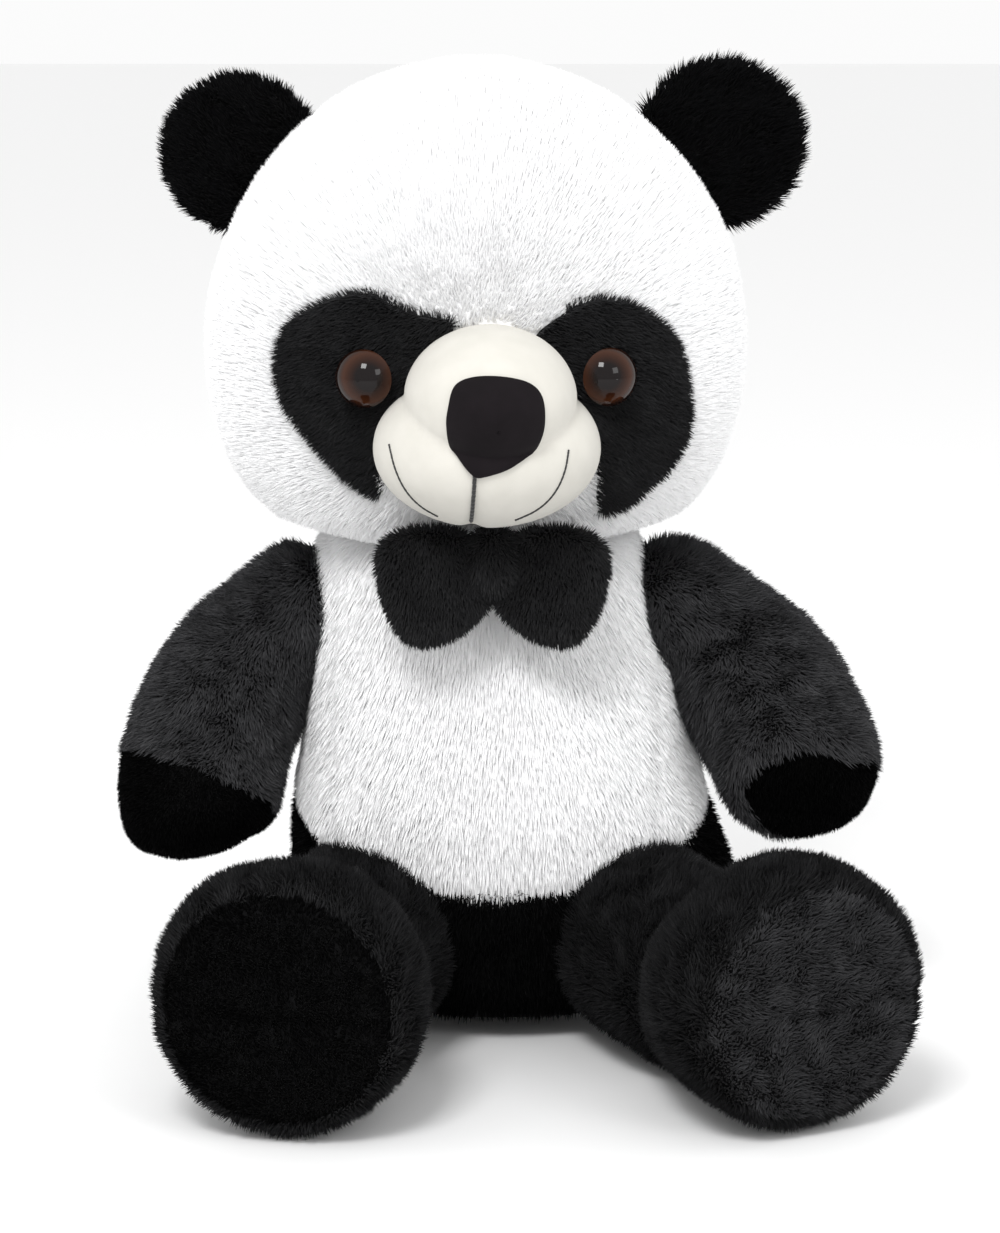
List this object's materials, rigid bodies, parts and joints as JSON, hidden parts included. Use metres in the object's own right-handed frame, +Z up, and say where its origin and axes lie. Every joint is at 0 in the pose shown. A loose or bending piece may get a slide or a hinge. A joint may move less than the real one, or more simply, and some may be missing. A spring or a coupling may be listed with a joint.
{
  "type": "plush panda",
  "caption": "Sitting plush panda with a large white head, cream muzzle, black ears, limbs and bow tie; stuffed limbs and head move at their seams.",
  "frame": {"origin": "middle of the flat seat, on the surface the toy sits on", "axes": "+Z up, the face looks along -Y, the toy's own left side is at +X"},
  "size_m": [0.3373, 0.3167, 0.4195],
  "materials": {
    "white_plush": "short-pile white plush",
    "black_plush": "short-pile black plush, silky",
    "cream_velour": "smooth cream velour, very short nap",
    "black_felt": "flat black felt",
    "black_thread": "embroidery thread",
    "white_thread": "sewing thread",
    "fibre_fill": "polyester fibre filling",
    "eye_brown": "glossy brown dome",
    "eye_black": "glossy black",
    "washer_white": "moulded polypropylene"
  },
  "bodies": {
    "torso": {"torso_front_panel": "white_plush", "torso_right_panel": "white_plush", "torso_left_panel": "white_plush", "seat_front_panel": "black_plush", "seat_right_panel": "black_plush", "seat_left_panel": "black_plush", "torso_stuffing": "fibre_fill", "back_closing_stitches": "white_thread"},
    "neck": {"neck_stuffing": "fibre_fill"},
    "head": {"head_front_panel": "white_plush", "head_back_panel": "white_plush", "head_stuffing": "fibre_fill", "muzzle_cover": "cream_velour", "muzzle_stuffing": "fibre_fill", "nose": "black_felt", "mouth_stitches": "black_thread", "right_eye_patch": "black_plush", "left_eye_patch": "black_plush", "right_eye_dome": "eye_brown", "right_eye_pupil": "eye_black", "right_eye_shank": "eye_black", "right_eye_washer": "washer_white", "left_eye_dome": "eye_brown", "left_eye_pupil": "eye_black", "left_eye_shank": "eye_black", "left_eye_washer": "washer_white"},
    "right_ear": {"right_ear_front": "black_plush", "right_ear_back": "black_plush", "right_ear_stuffing": "fibre_fill"},
    "left_ear": {"left_ear_front": "black_plush", "left_ear_back": "black_plush", "left_ear_stuffing": "fibre_fill"},
    "right_arm": {"right_arm_front_panel": "black_plush", "right_arm_back_panel": "black_plush", "right_paw_disc": "black_plush", "right_arm_stuffing": "fibre_fill"},
    "left_arm": {"left_arm_front_panel": "black_plush", "left_arm_back_panel": "black_plush", "left_paw_disc": "black_plush", "left_arm_stuffing": "fibre_fill"},
    "right_leg": {"right_leg_upper_panel": "black_plush", "right_leg_lower_panel": "black_plush", "right_sole_disc": "black_plush", "right_leg_stuffing": "fibre_fill"},
    "left_leg": {"left_leg_upper_panel": "black_plush", "left_leg_lower_panel": "black_plush", "left_sole_disc": "black_plush", "left_leg_stuffing": "fibre_fill"},
    "bow_tie": {"bow_knot": "black_plush", "bow_right_lobe": "black_plush", "bow_left_lobe": "black_plush"}
  },
  "joints": [
    {"name": "head_turn", "type": "hinge", "parent": "torso", "child": "neck", "pos_m": [-0.008, 0, 0.252], "axis": [0, 0, 1], "range_deg": [-20, 20], "stiffness_Nm_per_rad": 0.35},
    {"name": "head_nod", "type": "hinge", "parent": "neck", "child": "head", "pos_m": [-0.008, 0, 0.252], "axis": [1, 0, 0], "range_deg": [-14, 3], "stiffness_Nm_per_rad": 1.2},
    {"name": "right_ear_flex", "type": "hinge", "parent": "head", "child": "right_ear", "pos_m": [-0.105, 0.0029, 0.3714], "axis": [0.5891, 0.0309, 0.8075], "range_deg": [-12, 12], "stiffness_Nm_per_rad": 0.1},
    {"name": "left_ear_flex", "type": "hinge", "parent": "head", "child": "left_ear", "pos_m": [0.0882, 0.0131, 0.3713], "axis": [0.5888, 0.0309, -0.8077], "range_deg": [-12, 12], "stiffness_Nm_per_rad": 0.1},
    {"name": "right_arm_raise", "type": "hinge", "parent": "torso", "child": "right_arm", "pos_m": [-0.085, -0.002, 0.176], "axis": [0, 1, 0], "range_deg": [0, 38], "stiffness_Nm_per_rad": 0.5},
    {"name": "left_arm_raise", "type": "hinge", "parent": "torso", "child": "left_arm", "pos_m": [0.08, -0.002, 0.178], "axis": [0, -1, 0], "range_deg": [0, 38], "stiffness_Nm_per_rad": 0.5},
    {"name": "right_leg_lift", "type": "hinge", "parent": "torso", "child": "right_leg", "pos_m": [-0.055, -0.06, 0.046], "axis": [-0.9781, 0.2079, 0], "range_deg": [-5, 10], "stiffness_Nm_per_rad": 1},
    {"name": "left_leg_lift", "type": "hinge", "parent": "torso", "child": "left_leg", "pos_m": [0.062, -0.064, 0.046], "axis": [-0.8988, -0.4384, 0], "range_deg": [-5, 9], "stiffness_Nm_per_rad": 1},
    {"name": "bow_tie_lift", "type": "hinge", "parent": "torso", "child": "bow_tie", "pos_m": [-0.001, -0.086, 0.22], "axis": [-1, 0, 0], "range_deg": [0, 25], "stiffness_Nm_per_rad": 0.02}
  ]
}
